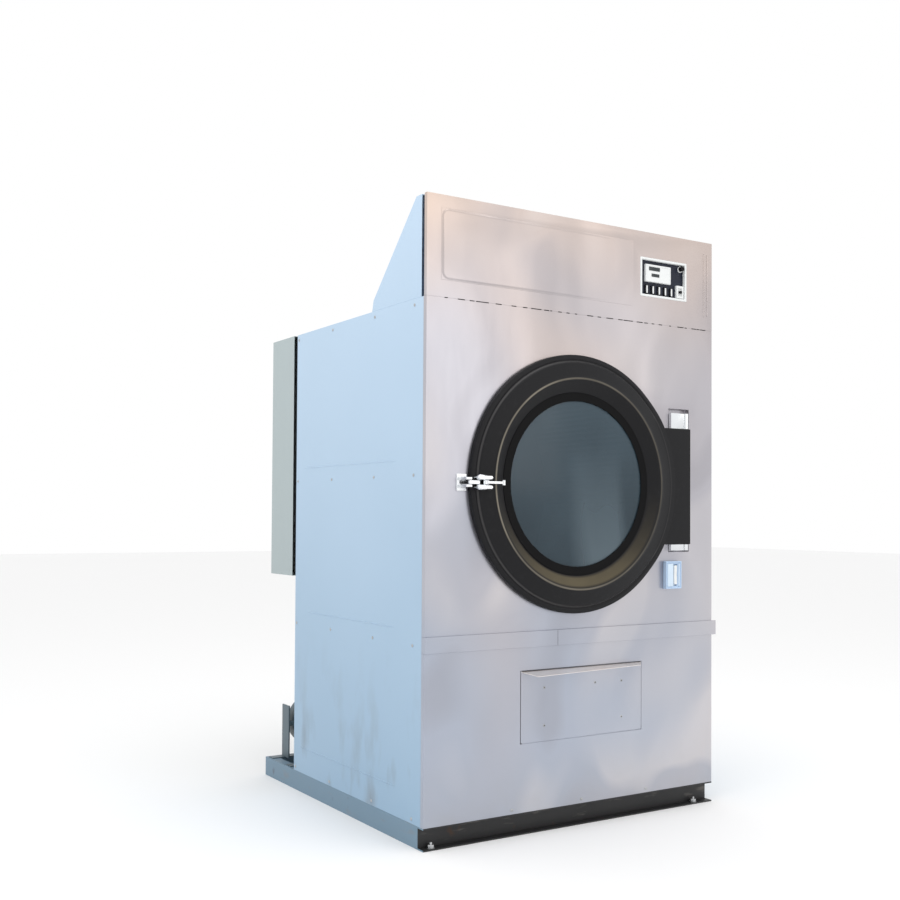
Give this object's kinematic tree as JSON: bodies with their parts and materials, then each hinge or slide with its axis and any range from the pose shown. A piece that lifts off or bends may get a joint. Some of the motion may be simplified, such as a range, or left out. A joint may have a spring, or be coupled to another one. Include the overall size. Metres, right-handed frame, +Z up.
{
  "type": "tumble dryer",
  "caption": "Commercial tumble dryer with a round swing door, lint hatch, control window, sloped air hood, belt-driven drum and exhaust fan on a channel base.",
  "frame": {"origin": "on the floor, in the middle of the four anchor bolts of the base", "axes": "+X to the right of someone facing the door, +Y from front to back, +Z up"},
  "size_m": [1.4005, 1.438, 2.3],
  "materials": {
    "base_paint": "satin blue-grey paint, black at the front",
    "frame_steel": "dark primer",
    "side_paint": "smooth pale blue paint",
    "front_steel": "thin polished stainless sheet",
    "galvanised": "galvanised sheet",
    "cover_paint": "grey-green paint",
    "drum_steel": "satin stainless",
    "cast_iron": "machined cast iron",
    "shaft_steel": "turned steel",
    "belt_rubber": "belt rubber",
    "motor_paint": "motor enamel",
    "heater_steel": "heat-tinted steel",
    "lint_mesh": "woven wire",
    "felt": "wool felt",
    "door_black": "satin charcoal black",
    "door_glass": "tinted toughened glass",
    "seal_rubber": "silicone rubber",
    "chrome": "polished chrome",
    "black_plate": "black panel",
    "white_plastic": "white moulding",
    "blue_plastic": "pale blue moulding",
    "beige_plastic": "beige moulding",
    "black_plastic": "black moulding"
  },
  "bodies": {
    "cabinet": {"base_frame": "base_paint", "cabinet_frame": "frame_steel", "left_side_panel": "side_paint", "right_side_panel": "side_paint", "front_panel": "front_steel", "lower_front_panel": "front_steel", "trim_rail": "front_steel", "control_fascia": "front_steel", "hood_side_plates": "side_paint", "hood_cover": "side_paint", "roof_panel": "side_paint", "rear_panel": "galvanised", "drive_cover_frame": "frame_steel", "rear_drive_cover": "cover_paint", "drum_casing": "galvanised", "door_mouth_collar": "drum_steel", "drum_felt_seal": "felt", "bearing_beam": "frame_steel", "bearing_housings": "cast_iron", "drive_belts": "belt_rubber", "drive_motor": "motor_paint", "heater_frame": "galvanised", "heater_elements": "heater_steel", "lint_duct": "galvanised", "lint_screen": "lint_mesh", "fan_scroll": "galvanised", "exhaust_spigot": "galvanised", "fan_motor": "motor_paint", "hinge_brackets": "chrome", "hinge_pins": "shaft_steel", "latch_keeper": "chrome", "control_window_rim": "white_plastic", "control_plate": "black_plate", "control_modules": "white_plastic", "door_switch_housing": "blue_plastic", "panel_screws": "shaft_steel", "cable_gland": "black_plastic"},
    "drum": {"drum_shell": "drum_steel", "drum_back_plate": "drum_steel", "drum_lifters": "drum_steel", "drum_spider": "shaft_steel", "drum_pulley": "cast_iron"},
    "jackshaft": {"jackshaft": "cast_iron"},
    "motor_pulley": {"motor_pulley": "cast_iron"},
    "fan_impeller": {"fan_impeller": "shaft_steel"},
    "door": {"door_ring": "door_black", "door_glass": "door_glass", "door_seals": "seal_rubber", "latch_body": "chrome"},
    "latch_lever": {"latch_lever": "chrome"},
    "latch_bolt": {"latch_bolt": "shaft_steel"},
    "lint_hatch": {"lint_hatch": "front_steel"},
    "breaker_toggle": {"breaker_toggle": "black_plastic"},
    "selector_knob": {"selector_knob": "black_plastic"},
    "door_switch_rocker": {"door_switch_rocker": "white_plastic"},
    "rocker_1": {"rocker_switch_1": "white_plastic"},
    "rocker_2": {"rocker_switch_2": "white_plastic"},
    "rocker_3": {"rocker_switch_3": "white_plastic"},
    "rocker_4": {"rocker_switch_4": "white_plastic"},
    "rocker_5": {"rocker_switch_5": "white_plastic"}
  },
  "joints": [
    {"name": "drum_spin", "type": "hinge", "parent": "cabinet", "child": "drum", "pos_m": [-0.025, 0, 1.288], "axis": [0, 1, 0], "continuous": true},
    {"name": "jackshaft_spin", "type": "hinge", "parent": "cabinet", "child": "jackshaft", "pos_m": [0.33, 0.5, 1.56], "axis": [0, 1, 0], "continuous": true},
    {"name": "motor_spin", "type": "hinge", "parent": "cabinet", "child": "motor_pulley", "pos_m": [0.54, 0.5, 1.77], "axis": [0, 1, 0], "continuous": true},
    {"name": "fan_spin", "type": "hinge", "parent": "cabinet", "child": "fan_impeller", "pos_m": [-0.49, 0.3, 0.237], "axis": [0, 1, 0], "continuous": true},
    {"name": "door_swing", "type": "hinge", "parent": "cabinet", "child": "door", "pos_m": [0.53, -0.701, 1.288], "axis": [0, 0, 1], "range_deg": [0, 150]},
    {"name": "latch_turn", "type": "hinge", "parent": "door", "child": "latch_lever", "pos_m": [-0.472, -0.74, 1.284], "axis": [0, 0, -1], "range_deg": [0, 35]},
    {"name": "latch_slide", "type": "slide", "parent": "door", "child": "latch_bolt", "axis": [1, 0, 0], "range_m": [0, 0.016]},
    {"name": "hatch_tilt", "type": "hinge", "parent": "cabinet", "child": "lint_hatch", "pos_m": [0.015, -0.682, 0.34], "axis": [1, 0, 0], "range_deg": [0, 80]},
    {"name": "breaker_throw", "type": "hinge", "parent": "cabinet", "child": "breaker_toggle", "pos_m": [0.5145, -0.682, 2.079], "axis": [1, 0, 0], "range_deg": [-18, 18]},
    {"name": "selector_turn", "type": "hinge", "parent": "cabinet", "child": "selector_knob", "pos_m": [0.523, -0.68, 2.175], "axis": [0, 1, 0], "range_deg": [0, 90]},
    {"name": "door_switch_press", "type": "hinge", "parent": "cabinet", "child": "door_switch_rocker", "pos_m": [0.475, -0.696, 0.933], "axis": [1, 0, 0], "range_deg": [0, 4]},
    {"name": "rocker_1_tip", "type": "hinge", "parent": "cabinet", "child": "rocker_1", "pos_m": [0.341, -0.674, 2.074], "axis": [1, 0, 0], "range_deg": [-8, 8]},
    {"name": "rocker_2_tip", "type": "hinge", "parent": "cabinet", "child": "rocker_2", "pos_m": [0.374, -0.674, 2.074], "axis": [1, 0, 0], "range_deg": [-8, 8]},
    {"name": "rocker_3_tip", "type": "hinge", "parent": "cabinet", "child": "rocker_3", "pos_m": [0.407, -0.674, 2.074], "axis": [1, 0, 0], "range_deg": [-8, 8]},
    {"name": "rocker_4_tip", "type": "hinge", "parent": "cabinet", "child": "rocker_4", "pos_m": [0.44, -0.674, 2.074], "axis": [1, 0, 0], "range_deg": [-8, 8]},
    {"name": "rocker_5_tip", "type": "hinge", "parent": "cabinet", "child": "rocker_5", "pos_m": [0.473, -0.674, 2.074], "axis": [1, 0, 0], "range_deg": [-8, 8]}
  ],
  "couplings": [
    {"joint": "jackshaft_spin", "follows": "drum_spin", "ratio": 7.7778},
    {"joint": "motor_spin", "follows": "drum_spin", "ratio": 38.889},
    {"joint": "latch_slide", "follows": "latch_turn", "m_per_rad": 0.026}
  ]
}
